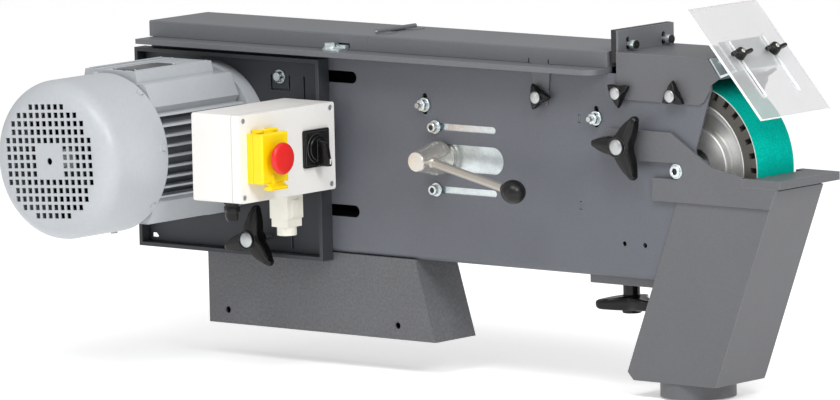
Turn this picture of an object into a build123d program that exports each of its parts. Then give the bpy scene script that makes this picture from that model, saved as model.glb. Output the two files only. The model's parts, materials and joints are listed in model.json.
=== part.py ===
from build123d import *
from math import asin, atan2, cos, degrees, hypot, pi, radians, sin
import os

# Working coordinates: X to the contact wheel, Y away from the operator from the
# housing's front face, Z up from the pedestal's base. Every part is moved so that
# the shared frame's origin is the centre of the pedestal's base. Millimetres.
origin_x = 175.8
origin_y = 41.2

sheet = 3.0
housing_left = -112.0
housing_top = 371.0
floor_z = 107.6
back_y = 115.4
bend_r = 9.0
cover_sheet = 2.3
cover_front = -2.3
cover_back = 117.7
cover_low = 377.6
cover_top = 399.0
seam_x = 270.0

drive_x, drive_z = -5.8, 250.5
wheel_x, wheel_z = 795.2, 256.9
pulley_r = 99.9
fin_count, fin_low, fin_step, fin_reach = 9, 195.4, 13.4, 94.0
tyre_r = 104.9
belt_y0, belt_y1 = 12.0, 87.0
belt_gap = 0.1
belt_thick = 1.3
tread_grooves = 33
axle_r = 10.0
shaft_r = 14.0
run_fit = 0.06

tray_left, tray_right = -123.7, 199.8
tray_low, tray_high = 98.0, 364.6
tray_flange = 5.0
tray_front = -21.6

lever_x, lever_z = 392.4, 245.5
ball_at = (566.0, -68.0, 219.0)

shield_foot = (819.0, 462.0)
shield_dir = (0.6603, -0.7510)
shield_up = (0.7510, 0.6603)
shield_length = 177.0
shield_thick = 3.5
stud_s = 79.0
stud_ys = (16.1, 86.3)

hinge_z = 402.3
box_lid_x = 226.0
stop_y, stop_z = -170.0, 254.5
select_y = -62.0


def box(x0, x1, y0, y1, z0, z1):
    middle = Pos((x0 + x1) / 2, (y0 + y1) / 2, (z0 + z1) / 2)
    return middle * Box(x1 - x0, y1 - y0, z1 - z0)


def plate(points, y0, y1):
    outline = make_face(Polyline(*points, close=True))
    return Pos(0, y1, 0) * extrude(Plane.XZ * outline, amount=y1 - y0)


def rod_x(y, z, r, x0, x1):
    return Pos((x0 + x1) / 2, y, z) * Rot(0, 90, 0) * Cylinder(r, x1 - x0)


def rod_y(x, z, r, y0, y1):
    return Pos(x, (y0 + y1) / 2, z) * Rot(90, 0, 0) * Cylinder(r, y1 - y0)


def rod_z(x, y, r, z0, z1):
    return Pos(x, y, (z0 + z1) / 2) * Cylinder(r, z1 - z0)


def slot_x(x0, x1, z, half, y0, y1):
    ends = rod_y(x0 + half, z, half, y0, y1) + rod_y(x1 - half, z, half, y0, y1)
    return ends + box(x0 + half, x1 - half, y0, y1, z - half, z + half)


def slot_z(x, z0, z1, half, y0, y1):
    ends = rod_y(x, z0 + half, half, y0, y1) + rod_y(x, z1 - half, half, y0, y1)
    return ends + box(x - half, x + half, y0, y1, z0 + half, z1 - half)


def cone_y(x, z, r0, r1, y0, y1):
    """A cone that is r0 wide at y0 and r1 wide at y1."""
    return Pos(x, (y0 + y1) / 2, z) * Rot(-90, 0, 0) * Cone(r0, r1, y1 - y0)


def save(node, *shapes):
    solids = [solid for shape in shapes for solid in shape.solids()]
    moved = [Pos(-origin_x, -origin_y, 0) * solid for solid in solids]
    whole = moved[0] if len(moved) == 1 else Compound(children=moved)
    export_step(whole, f"parts/{node}.step")


def slope(s, off):
    """A point beside the shield: s down its slope, off outward from its face."""
    x = shield_foot[0] + s * shield_dir[0] + off * shield_up[0]
    return (x, shield_foot[1] + s * shield_dir[1] + off * shield_up[1])


def slope_plate(points, y0, y1):
    return plate([slope(s, off) for s, off in points], y0, y1)


def slope_rod(s, y, r, off0, off1):
    x, z = slope(s, (off0 + off1) / 2)
    along = Vector(shield_up[0], 0, shield_up[1])
    face = Plane(origin=(x, y, z), x_dir=(0, 1, 0), z_dir=along)
    return face * Cylinder(r, off1 - off0)


def make_pedestal():
    outer = [(-20.8, 0), (372.4, 0), (340.4, floor_z), (-20.8, floor_z)]
    inner = [(-17.8, 3), (368.4, 3), (338.0, floor_z - 3), (-17.8, floor_z - 3)]
    body = plate(outer, 0.3, 82) - plate(inner, 3.3, 79)
    for x in (12.4, 308.1):
        body -= rod_y(x, 18.2, 4.5, -1, 84)
    save("pedestal", body)


housing_outline = [
    (housing_left, floor_z),
    (741, floor_z),
    (762, 160),
    (783, 212),
    (806, 222),
    (812, 240),
    (811.7, 280.8),
    (838.4, 359),
    (838.4, housing_top),
    (housing_left, housing_top),
]


def make_housing_front():
    body = plate(housing_outline, 0, sheet)
    body += box(housing_left, 741, sheet, back_y - sheet, floor_z, floor_z + sheet)
    corner = box(housing_left - 1, 745, -1, bend_r, floor_z - 1, floor_z + bend_r)
    corner -= rod_x(bend_r, floor_z + bend_r, bend_r, housing_left - 2, 746)
    body -= corner
    web = box(housing_left, 741, sheet, bend_r, floor_z + sheet, floor_z + bend_r)
    body += web - rod_x(bend_r, floor_z + bend_r, bend_r - sheet, -200, 800)
    body += box(255, 258, sheet, 34, floor_z + sheet, 146)
    for z in (341.5, 164.5):
        body -= slot_x(168, 247.2, z, 8, -1, 4)
    body -= slot_x(drive_x - 30, drive_x + 94, drive_z, 30, -1, 4)
    body -= slot_x(371, 482, 285.2, 4.7, -1, 4)
    body -= slot_x(371, 482, 202.7, 4.7, -1, 4)
    body -= slot_x(373, 494.4, 245.3, 18, -1, 4)
    for x in (363.5, 650.5):
        body -= slot_z(x, 300, 328, 4, -1, 4)
    for z in (192.0, 304.0):
        body -= box(620, 624, -1, 4, z, z + 11)
    for x in (692.8, 726.4):
        body -= rod_y(x, 152.5, 3.4, -1, 4)
    body -= rod_y(707, 281, 4.08, -1, 4)
    for x, z in ((562, 335), (694, 347.7), (783, 349)):
        body -= rod_y(x, z, 3.08, -1, 4)
    body -= rod_z(661, 52, 4.08, floor_z - 1, floor_z + 4)
    save("housing_front", body)


def make_housing_back():
    body = plate(housing_outline, back_y - sheet, back_y)
    end = box(housing_left, housing_left + sheet, sheet, back_y - sheet, 110.6, 371)
    cut = box(housing_left - 1, -90, 0, bend_r, floor_z, floor_z + bend_r)
    save("housing_back", body + (end - cut))


def make_bulkhead():
    body = box(620.5, 623.5, 14, back_y - sheet, 158, 335)
    body += box(620.5, 623.5, sheet, 14, 175, 322)
    for z in (193.0, 305.0):
        body += box(620.5, 623.5, 0.2, sheet, z, z + 9)
    body -= rod_x(50, 250, 30, 610, 630)
    save("bulkhead", body)


def make_top_frame():
    z0, z1 = housing_top, cover_low
    body = box(-108, 672, -36.6, cover_back, z0, z1)
    trim = box(656, 676, -40, -20.6, z0 - 1, z1 + 1)
    body -= trim - rod_z(656, -20.6, 16, z0 - 2, z1 + 2)
    body -= box(-95, 700, 8, 95, z0 - 1, z1 + 1)
    body -= box(544, 583, -8, 0.2, z0 - 1, z1 + 1)
    save("top_frame", body)


def cover_shell(x0, x1):
    skin = box(x0, x1, cover_front, cover_back, cover_low + 0.3, cover_top)
    edges = skin.edges().filter_by(Axis.X).group_by(Axis.Z)[-1]
    skin = fillet(edges, 2.2)
    t = cover_sheet
    low, high = cover_low - 1, cover_top - t
    return skin - box(x0 + t, x1 - t, cover_front + t, cover_back - t, low, high)


def knuckles(ys, x_far):
    body = None
    for y0, y1 in ys:
        ring = rod_y(269.5, hinge_z, 3.1, y0, y1)
        leaf = box(min(x_far, 269.5), max(x_far, 269.5), y0, y1, cover_top, cover_top + 1.4)
        part = ring + leaf
        body = part if body is None else body + part
    return body - rod_y(269.5, hinge_z, 1.55, 0, 110)


def make_covers():
    fixed = cover_shell(-113, seam_x - 0.5)
    fixed -= box(219, 239, cover_front - 1, 1, 380, 386.5)
    fixed += knuckles([(39.4, 72.6)], 254)
    save("fixed_cover", fixed)
    lid = cover_shell(seam_x, 672)
    tab = [(545.7, 380), (578, 380), (572.4, 332), (571, 325), (569, 324), (566.5, 338)]
    tab += [(562, 341), (557.5, 338), (555, 324), (553, 325), (551, 332)]
    lid += plate(tab, cover_front, -0.4)
    lid += knuckles([(17, 39), (73, 95)], 286)
    save("hinged_lid", lid)
    save("hinge_pin", rod_y(269.5, hinge_z, 1.5, 16, 96))


def hex_y(x, z, across, y0, y1):
    face = Plane.XZ * RegularPolygon(across / 2, 6, major_radius=False)
    return Pos(x, y1, z) * extrude(face, amount=y1 - y0)


def make_cover_clamp():
    strip = box(206, 236, -26, -2.6, cover_low, cover_low + 3)
    strip = fillet(strip.edges().filter_by(Axis.Z).group_by(Axis.Y)[0], 9)
    strip += box(221, 237, -9, 1.5, cover_low + 3, cover_low + 7)
    bolt = rod_z(216, -15, 9, cover_low + 3, cover_low + 4.6)
    head = extrude(RegularPolygon(6.5, 6, major_radius=False), amount=5.3)
    bolt += Pos(216, -15, cover_low + 4.6) * head
    save("cover_clamp", strip, bolt)


hood_side = [
    (686.7, 338.8),
    (821.9, 338.8),
    (828.5, 343.1),
    (838.5, 359),
    (838.5, 364),
    (853.4, 373.8),
    (834.6, 399),
    (686.7, 399),
]


def make_hood():
    outer = plate(hood_side, cover_front, cover_back)
    inner = [(680, 330), (845, 330), (845, 355), (851.2, 371.4), (833.4, 396.7), (680, 396.7)]
    mouth = [(838, 330), (860, 330), (853.3, 373.7), (838.5, 364)]
    body = outer - plate(inner, 0, 115.4) - plate(mouth, 0, 115.4)
    for x, z in ((694, 347.7), (783, 349)):
        body -= rod_y(x, z, 3.08, -4, 1)
    body -= box(686, 690, -0.1, 114.8, 376, 402)
    body -= box(686, 690, -3, 118, cover_top - 0.1, 430)
    save("hood", body)
    upstand = box(685.5, 688.5, 0, 114.7, 378, 426.6)
    for y in (20.5, 93):
        upstand -= rod_x(y, 403.5, 3.5, 680, 690) + rod_x(y, 413.5, 3.5, 680, 690)
        upstand -= box(680, 690, y - 3.5, y + 3.5, 403.5, 413.5)
    save("hood_upstand", upstand)


def make_gap_plate():
    body = box(677.3, 685.2, 0, 114.7, 385, 427)
    screws = []
    for y in (20.5, 93):
        body -= rod_x(y, 407.5, 3, 676, 690)
        screw = rod_x(y, 407.5, 3, 679, 695) + rod_x(y, 407.5, 5.5, 695, 703)
        screws.append(screw)
    save("gap_plate", body, *screws)


def make_shield():
    flat = [(0, -shield_thick), (shield_length, -shield_thick), (shield_length, 0), (0, 0)]
    body = slope_plate(flat, -20, 120)
    for y in stud_ys:
        body -= slope_rod(56.25, y, 3.25, -5, 1) + slope_rod(141.75, y, 3.25, -5, 1)
        cut = [(56.25, -5), (141.75, -5), (141.75, 1), (56.25, 1)]
        body -= slope_plate(cut, y - 3.25, y + 3.25)
    save("shield", body)
    upper = slope_plate([(53, -6.4), (99, -6.4), (99, -3.9), (53, -3.9)], 0, 95)
    web = slope_plate([(99, -3.9), (96, -6.4), (86.2, -29.6), (89.0, -31.5)], 0, 95)
    leg = slope_plate([(60, -27.3), (88.4, -29.7), (88.4, -32.25), (60, -29.9)], 0, 95)
    bracket = upper + web + leg
    for y in stud_ys:
        bracket -= slope_rod(stud_s, y, 2.98, -8, -2)
    screw = slope_rod(67, 20, 6, -28.0, -25.0)
    save("shield_bracket", bracket, screw)
    for name, y in zip(("wing_knob_near", "wing_knob_far"), stud_ys):
        knob = slope_rod(stud_s, y, 8, 0.35, 10)
        low, high = stud_s - 3, stud_s + 3
        wing = slope_plate([(low, 3), (high, 3), (high, 9), (low, 9)], y - 21, y + 21)
        stud = slope_rod(stud_s, y, 2.9, -12, 12)
        save(name, (knob + wing) - stud, stud)


def small_knob(x, z, y0, tips):
    points = []
    for tip in tips:
        for turn, r in ((-7, 19.5), (7, 19.5), (60, 9.5)):
            a = radians(tip + turn)
            points.append((x + r * cos(a), z + r * sin(a)))
    grip = plate(points, y0 - 13, y0 - 2) + rod_y(x, z, 9, y0 - 13, y0)
    stud = rod_y(x, z, 3, y0 - 14, sheet + 3) + rod_y(x, z, 8.2, y0 - 15.2, y0 - 13)
    return grip - stud, stud


def big_knob(face, lobes, neck, reach, boss):
    grip = Pos(0, 0, neck + 10) * Cylinder(19, 20)
    for angle in lobes:
        arm = Pos(17, 0, 0) * Box(34, 22, 20) + Pos(34.5, 0, 0) * Cylinder(12.5, 20)
        grip += Pos(0, 0, neck + 10) * Rot(0, 0, angle) * arm
    grip += Pos(0, 0, neck - boss / 2) * Cylinder(11, boss)
    stud = Pos(0, 0, (neck + 20 - reach) / 2) * Cylinder(4, neck + 20 + reach)
    stud += Pos(0, 0, neck + 22) * Cylinder(12.5, 4)
    return face * (grip - stud), face * stud


def make_knobs():
    save("lid_knob", *small_knob(562, 335, -2.7, (0, 120, 240)))
    save("hood_knob_left", *small_knob(694, 347.7, -2.7, (30, 150, 270)))
    save("hood_knob_right", *small_knob(783, 349, -2.7, (90, 210, 330)))
    front = Plane(origin=(707, -6.4, 281), x_dir=(1, 0, 0), z_dir=(0, -1, 0))
    save("arm_knob", *big_knob(front, (57, 177, 297), 4.5, 17, 4.5))
    front = Plane(origin=(94, -6.1, 123), x_dir=(1, 0, 0), z_dir=(0, -1, 0))
    save("tracking_knob", *big_knob(front, (77, 197, 317), 25.8, 5.2, 8))
    under = Plane(origin=(661, 52, 96.0), x_dir=(1, 0, 0), z_dir=(0, 0, -1))
    save("chute_knob", *big_knob(under, (135, 255, 15), 18, 17, 18))


def band(r1, r2, y0, y1):
    dx, dz = wheel_x - drive_x, wheel_z - drive_z
    lean = atan2(dz, dx)
    spread = asin((r2 - r1) / hypot(dx, dz))
    up, down = lean + pi / 2 + spread, lean - pi / 2 - spread
    ends = [(drive_x, drive_z, r1, up), (wheel_x, wheel_z, r2, up)]
    ends += [(wheel_x, wheel_z, r2, down), (drive_x, drive_z, r1, down)]
    points = [(x + r * cos(a), z + r * sin(a)) for x, z, r, a in ends]
    body = plate(points, y0, y1) + rod_y(drive_x, drive_z, r1, y0, y1)
    return body + rod_y(wheel_x, wheel_z, r2, y0, y1)


def make_belt():
    r1, r2 = pulley_r + belt_gap, tyre_r + belt_gap
    outer = band(r1 + belt_thick, r2 + belt_thick, belt_y0, belt_y1)
    save("abrasive_belt", outer - band(r1, r2, belt_y0 - 1, belt_y1 + 1))


def make_contact_wheel():
    x, z = wheel_x, wheel_z
    rim = rod_y(x, z, 85, belt_y0, belt_y1) - rod_y(x, z, 72, 0, 100)
    rim -= cone_y(x, z, 83, 75, belt_y0, belt_y0 + 8)
    rim -= cone_y(x, z, 75, 83, belt_y1 - 8, belt_y1)
    web = rod_y(x, z, 72, 34, 65)
    boss = rod_y(x, z, 48, 22, 77)
    hub = rim + web + boss - rod_y(x, z, 21, 0, 100)
    save("wheel_hub", hub)
    tyre = rod_y(x, z, tyre_r, belt_y0, belt_y1) - rod_y(x, z, 85, 0, 100)
    groove = Compound(children=[
        Pos(x, 0, z) * Rot(0, -55 - 360 * i / tread_grooves, 0) * box(95, 108, 0, 100, -3.5, 3.5)
        for i in range(tread_grooves)
    ])
    save("wheel_tyre", tyre - groove)
    races = []
    for y0, y1 in ((23, 38), (61, 76)):
        races.append(rod_y(x, z, 21, y0, y1) - rod_y(x, z, axle_r + run_fit, 0, 100))
    save("wheel_bearings", *races)
    axle = rod_y(x, z, axle_r, sheet, back_y - sheet)
    axle += rod_y(x, z, 15, sheet, 11) + rod_y(x, z, 15, 88, back_y - sheet)
    save("wheel_axle", axle)


def make_work_rest():
    outline = [(679, 301), (775, 301), (839.7, 260.2), (895.8, 249.7), (945, 238)]
    outline += [(931.7, 212.5), (745, 212.5), (745, 241.7), (783.5, 241.7), (783.5, 262.3)]
    arm = plate(outline + [(679, 262.3)], -6, -1) + rod_y(679, 281.65, 19.35, -6, -1)
    arm -= rod_y(783.5, 252, 10.3, -8, 1)
    arm -= slot_x(667, 711.5, 281, 4.4, -8, 1)
    table = box(890.6, 951, -6, 118, 238.6, 249.3) - box(880, 903.5, 2, 105, 230, 260)
    arm -= box(890.6, 951, -6, 118, 238.6, 260)
    save("rest_arm", arm)
    save("table", table)
    guide = rod_y(783.5, 252, 9.95, -6, 0) + rod_y(783.5, 252, 8, -9, -6)
    save("guide_bolt", guide)


def make_chute():
    side = [(782.5, 212.2), (931.6, 212.2), (842.7, -12.9), (838.5, -22.5)]
    side += [(705.6, -22.5), (696, -12.3), (743.3, 109.4)]
    front = plate(side, -2.9, -0.9)
    right = plate([(939.2, 235.0), (842.7, -12.9), (840.5, -12.1), (937.0, 235.8)], -0.9, 97)
    back_side = [(782.5, 212.2), (930.1, 212.2), (939.2, 235.0)] + side[2:]
    back = plate(back_side, 97, 99)
    bottom = box(705.6, 838.5, -0.9, 97, -22.5, -20.5)
    hip = plate([(696, -12.3), (705.6, -22.5), (707.2, -21.1), (697.8, -11.0)], -0.9, 97)
    toe = plate([(842.7, -12.9), (838.5, -22.5), (836.7, -21.7), (840.6, -12.1)], -0.9, 97)
    left = plate([(743.0, 107.0), (696, -12.3), (697.9, -13.1), (745.1, 107.0)], -0.9, 97)
    body = front + right + back + left + bottom + hip + toe
    body -= rod_z(771, 48, 47, -24, -19)
    save("chute", body)
    save("outlet", rod_z(771, 48, 49, -43, -22.5) - rod_z(771, 48, 47, -50, 0))
    tongue = box(624, 744.2, 14, 90, 104, 106.7)
    tongue += box(624, 739, 14, 17, 96.4, 104) + box(624, 739, 87, 90, 96.4, 104)
    tongue -= box(620, 661.5, 47.5, 56.5, 90, 110) + rod_z(661.5, 52, 4.5, 90, 110)
    lean = plate([(743.0, 107.0), (696, -12.3), (800, -12.3), (800, 107.0)], 0, 100)
    save("tongue", tongue - lean)


def make_platen():
    lean = degrees(atan2(11.4, 801))
    top = Pos(345, 0, 349.7) * Rot(0, -lean, 0) * box(0, 323, 8, 92, 0, 5)
    lugs = box(352, 375, 6.9, 10, 299, 352) + box(639, 662, 6.9, 10, 299, 356)
    bolts = []
    for x, z in ((363.5, 313), (650.5, 312)):
        bolt = rod_y(x, z, 3.4, -17, 6.9) + rod_y(x, z, 9, -2.6, -0.4)
        bolts.append(bolt + hex_y(x, z, 13, -9.2, -2.6))
    save("platen", top + lugs, *bolts)


def make_carriage():
    f = tray_flange
    tray = box(tray_left, tray_right, tray_front, -0.4, tray_low, tray_high)
    tray -= box(tray_left + f, tray_right - f, -40, -3, tray_low + f, tray_high - f)
    tray -= box(-106.5, 163, -10, 1, 104.5, 352)
    tray -= box(-117, -103, -10, 1, 107.8, 114.2)
    bracket = box(150, 194.8, tray_front, -19.0, 210, 300)
    save("motor_tray", tray + bracket)
    points = [(95, 118), (120, 118), (120, 150), (190, 150), (190, 190), (500, 190)]
    points += [(500, 297), (190, 297), (190, 351), (165, 351), (165, 240), (95, 240)]
    slide = plate(points, 3.4, 6.4) + box(95, 98, 6.4, 30, 118, 144)
    for z in (341.5, 164.5):
        slide += rod_y(178, z, 7.4, -0.4, 3.4)
    slide += rod_y(lever_x, lever_z, 6, -30, 3.4)
    save("slide_plate", slide)
    screws = []
    for z in (284.8, 202.8):
        screw = rod_y(381, z, 4, -3, 3.4) + rod_y(381, z, 9, -2.6, -0.4)
        screws.append(screw + rod_y(381, z, 6.5, -11, -2.6))
    save("guide_screws", *screws)
    coil = Helix(pitch=11, height=151, radius=8, direction=(1, 0, 0), center=(101, 20, 131))
    wire = Plane(origin=coil @ 0, z_dir=coil % 0) * Circle(1.4)
    save("tension_spring", sweep(wire, path=coil))


def make_lever():
    hub = cone_y(lever_x, lever_z, 13.5, 19.5, -50, -4) + rod_y(lever_x, lever_z, 22, -4, -0.5)
    hub += cone_y(lever_x, lever_z, 11.5, 13.5, -56, -50)
    hub += rod_y(lever_x, lever_z, 17, -0.5, 3.0)
    hub -= rod_y(lever_x, lever_z, 6.06, -31, 5)
    start = Vector(lever_x, -35, lever_z)
    way = (Vector(*ball_at) - start).normalized()
    line = Plane(origin=start + way * 12, z_dir=way)
    length = (Vector(*ball_at) - start).length
    stem = line * Pos(0, 0, (length - 22) / 2) * Cylinder(5, length - 22)
    save("lever_hub", hub + stem)
    grip = Plane(origin=Vector(*ball_at), z_dir=way) * scale(Sphere(15.5), by=(1, 1, 1.13))
    save("lever_ball", grip - (line * Pos(0, 0, (length - 22) / 2) * Cylinder(5, length - 22)))


def make_motor():
    x, z = drive_x, drive_z
    low, high, front, rear = 104.4, 358.2, -5.9, -3.2
    base = box(-117.2, 192.4, front, rear, low, high)
    base -= box(103, 137, -8, 1, 318, 321) + box(103, 106, -8, 1, 318, 339)
    base -= box(134, 137, -8, 1, 318, 339) + rod_y(x, z, 20, -8, 1)
    base -= box(160, 163, -8, 1, 300, 339) + box(133, 136, -8, 1, 108.3, 128.7)
    base -= box(-118, -103, -8, 1, 107.8, 114.2) + rod_y(94, 123, 4, -8, 1)
    bolts = []
    for bx, bz in ((119.5, 337), (-81.6, 341)):
        bolts.append(rod_y(bx, bz, 9, front - 1.8, front) + hex_y(bx, bz, 13, -13.3, front - 1.8))
    save("motor_plate", base, *bolts)
    body = rod_y(x, z, 86, -204, -30)
    clip = rod_y(x, z, 100, -204, -34)
    for i in range(fin_count):
        fin_z = fin_low + fin_step * i
        body += box(x - fin_reach, x + fin_reach, -204, -34, fin_z - 1.5, fin_z + 1.5) & clip
    half = [(44, 358), (47, 345), (63.4, 342.5), (77.3, 313), (70, 303)]
    wings = [(x - dx, h) for dx, h in reversed(half[2:])] + [(x + dx, h) for dx, h in half[2:]]
    body += plate(wings, -204, -34)
    top = [(x - dx, h) for dx, h in reversed(half[:2])] + [(x + dx, h) for dx, h in half[:2]]
    body += plate(top + [(x + 47, 330), (x - 47, 330)], -200, -50)
    for side in (-1, 1):
        for dx, h in ((36, 356.4), (18, 356.8)):
            body -= box(x + side * dx - 3.5, x + side * dx + 3.5, -196, -54, h, 360)
    feet = [(x - dx, 2 * z - h) for dx, h in reversed(half[2:])]
    feet += [(x + dx, 2 * z - h) for dx, h in half[2:]]
    body += plate(feet, -204, -34)
    body -= rod_y(x, z, 80, -206, -28)
    save("motor_body", body)
    near = rod_y(x, z, 103, -30, front) - rod_y(x, z, shaft_r + run_fit, -40, 0)
    near -= rod_y(x, z, 78, -31, -14)
    far = rod_y(x, z, 95, -212, -204) - rod_y(x, z, shaft_r + run_fit, -220, -200)
    save("end_shields", near, far)
    save("stator", rod_y(x, z, 80, -190, -45) - rod_y(x, z, 45.6, -200, 0))
    outer = rod_y(x, z, 104.5, -322, -207)
    outer = fillet(outer.edges().filter_by(GeomType.CIRCLE).group_by(Axis.Y)[0], 27)
    inner = rod_y(x, z, 102.7, -320.2, -200)
    inner = fillet(inner.edges().filter_by(GeomType.CIRCLE).group_by(Axis.Y)[0], 25.2)
    cowl = outer - inner
    counts = [6, 10, 12, 12, 14, 14, 14, 14, 14, 14, 12, 12, 10, 6]
    holes = []
    for row, count in enumerate(counts):
        for column in range(count):
            a, b = column - (count - 1) / 2, row - 6.5
            if abs(a) < 2 and abs(b) < 2:
                continue
            spot = Pos(x, -321, z) * Rot(0, -3.6, 0) * Pos(10.95 * a, 0, 10.95 * b)
            holes.append(spot * Box(7, 6, 7))
    cowl -= Compound(children=holes)
    cowl -= rod_y(x, z, 4.5, -330, -315)
    fixings = []
    for i in range(8):
        a = radians(7 + 45 * i)
        spot = Plane(
            origin=(x + 104.5 * cos(a), -215, z + 104.5 * sin(a)), z_dir=(cos(a), 0, sin(a))
        )
        fixings.append(spot * Pos(0, 0, 0.9) * Cylinder(4.5, 2.4))
    for screw in fixings:
        cowl += screw
    seat = rod_y(x, z, 102.7, -212, -207) - rod_y(x, z, 95, -213, -206)
    save("fan_cover", cowl + seat)
    core = rod_y(x, z, 45, -188, -47) - rod_y(x, z, shaft_r, -200, 0)
    save("motor_rotor", rod_y(x, z, shaft_r, -285, 92), core)
    fan = rod_y(x, z, 32, -282, -240) - rod_y(x, z, shaft_r, -300, -200)
    fan += rod_y(x, z, 90, -240, -236) - rod_y(x, z, shaft_r, -300, -200)
    for i in range(7):
        blade = Pos(x, 0, z) * Rot(0, 360 * i / 7, 0) * box(30, 90, -280, -240, -1.5, 1.5)
        fan += blade
    save("cooling_fan", fan)
    pulley = rod_y(x, z, pulley_r, belt_y0, belt_y1) - rod_y(x, z, 86, 0, 100)
    pulley += rod_y(x, z, 86, 40, 58) + rod_y(x, z, 30, 16, 86)
    save("drive_pulley", pulley - rod_y(x, z, shaft_r, 0, 100))


def make_switch_gear():
    body = box(143, 211, -209.5, -22, 196.5, 311.5)
    body = fillet(body.edges().filter_by(Axis.X), 3.5)
    body -= box(146, 212, -206.5, -25, 199.5, 308.5)
    body -= rod_z(184.5, -181, 8, 190, 202) + rod_z(184.5, -74, 11, 190, 202)
    save("switch_box", body)
    lid = box(211, box_lid_x, -209.5, -22, 196.5, 311.5)
    lid = fillet(lid.edges().filter_by(Axis.X), 3.5)
    lid -= box(210, 223, -206.5, -25, 199.5, 308.5)
    lid += box(211, 223, -206.5, -198, 199.5, 208) + box(211, 223, -33.5, -25, 199.5, 208)
    lid += box(211, 223, -206.5, -198, 300, 308.5) + box(211, 223, -33.5, -25, 300, 308.5)
    lid -= rod_x(select_y, stop_z, 5, 220, 230)
    screws = []
    for y in (-202, -29.5):
        for z in (204, 304):
            lid -= rod_x(y, z, 3.6, 222, 230)
            screws.append(rod_x(y, z, 3.5, 222, 225.6))
    save("switch_lid", lid)
    save("lid_screws", *screws)
    gland = rod_z(184.5, -181, 8, 196, 202.5) + rod_z(184.5, -181, 11, 189, 196.5)
    gland += rod_z(184.5, -181, 10, 168.5, 189)
    save("cable_gland", gland - rod_z(184.5, -181, 5, 160, 210))
    inlet = box(169, 200, -89.5, -58.5, 161, 196.5) + box(170.5, 198.5, -88, -60, 150, 161)
    inlet += rod_z(184.5, -74, 13, 138.5, 150) + rod_z(184.5, -74, 11, 196.5, 203)
    inlet -= rod_z(184.5, -74, 10.5, 120, 172)
    for x, y in ((180, -74), (189, -74), (184.5, -69.5)):
        inlet += rod_z(x, y, 1.5, 148, 172)
    for x0, x1 in ((167.4, 169), (200, 201.6)):
        inlet += box(x0, x1, -80, -68, 163, 186)
    save("power_inlet", inlet)
    save("contactor", box(147, 200, -150, -92, 215, 295))
    y, z = stop_y, stop_z
    base = box(box_lid_x, 236, y - 26, y + 26, 222, 287)
    base += rod_x(y, z, 6, 236, 238.4)
    for y0 in (y - 18, y + 10):
        ear = box(228, 236, y0, y0 + 8, 286, 291.8) + box(236, 238.2, y0, y0 + 8, 287.5, 291.8)
        base += ear + rod_y(239.5, 289.7, 2.2, y0, y0 + 8)
    base -= rod_x(y, 273, 6.9, 229, 240)
    save("stop_base", base)
    button = rod_x(y, 273, 6.5, 232, 240.5)
    save("start_button", button)
    flap = box(236.4, 252, y - 26, y + 26, 222, 287)
    flap = fillet(flap.edges().group_by(Axis.X)[-1], 3)
    flap -= box(236, 250, y - 24, y + 24, 224, 285)
    flap += plate([(248, 224), (258.5, 217.5), (258.5, 214.5), (246, 222.5)], y - 15, y + 15)
    flap += rod_y(239.5, 289.7, 2.2, y - 9.5, y + 9.5)
    flap += box(237.6, 241.5, y - 9.5, y + 9.5, 286, 289.7)
    save("stop_flap", flap - rod_x(y, z, 7.4, 245, 256))
    stem = rod_x(y, z, 7, 243, 262)
    cap = rod_x(y, z, 21, 261, 269)
    cap = fillet(cap.edges().filter_by(GeomType.CIRCLE).group_by(Axis.X)[-1], 5)
    collar = rod_x(y, z, 8.6, 243, 249.6)
    save("stop_mushroom", stem + cap + collar)
    y = select_y
    square = box(box_lid_x, 230, y - 25, y + 25, z - 25, z + 25)
    square -= rod_x(y, z, 5, 220, 240)
    save("selector_plate", square)
    bar = plate([(230.4, z + 13), (248, z + 5), (253, z - 23), (230.4, z - 23)], y - 3.8, y + 3.8)
    knob = bar + rod_x(y, z, 17, 230.4, 234) + rod_x(y, z, 4.5, 214, 231)
    save("selector_knob", knob)


os.makedirs("parts", exist_ok=True)
make_pedestal()
make_housing_front()
make_housing_back()
make_bulkhead()
make_top_frame()
make_covers()
make_cover_clamp()
make_hood()
make_gap_plate()
make_shield()
make_knobs()
make_belt()
make_contact_wheel()
make_work_rest()
make_chute()
make_platen()
make_carriage()
make_lever()
make_motor()
make_switch_gear()
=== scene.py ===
import json
import math
import bmesh
import bpy
from mathutils import Matrix, Vector


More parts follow.
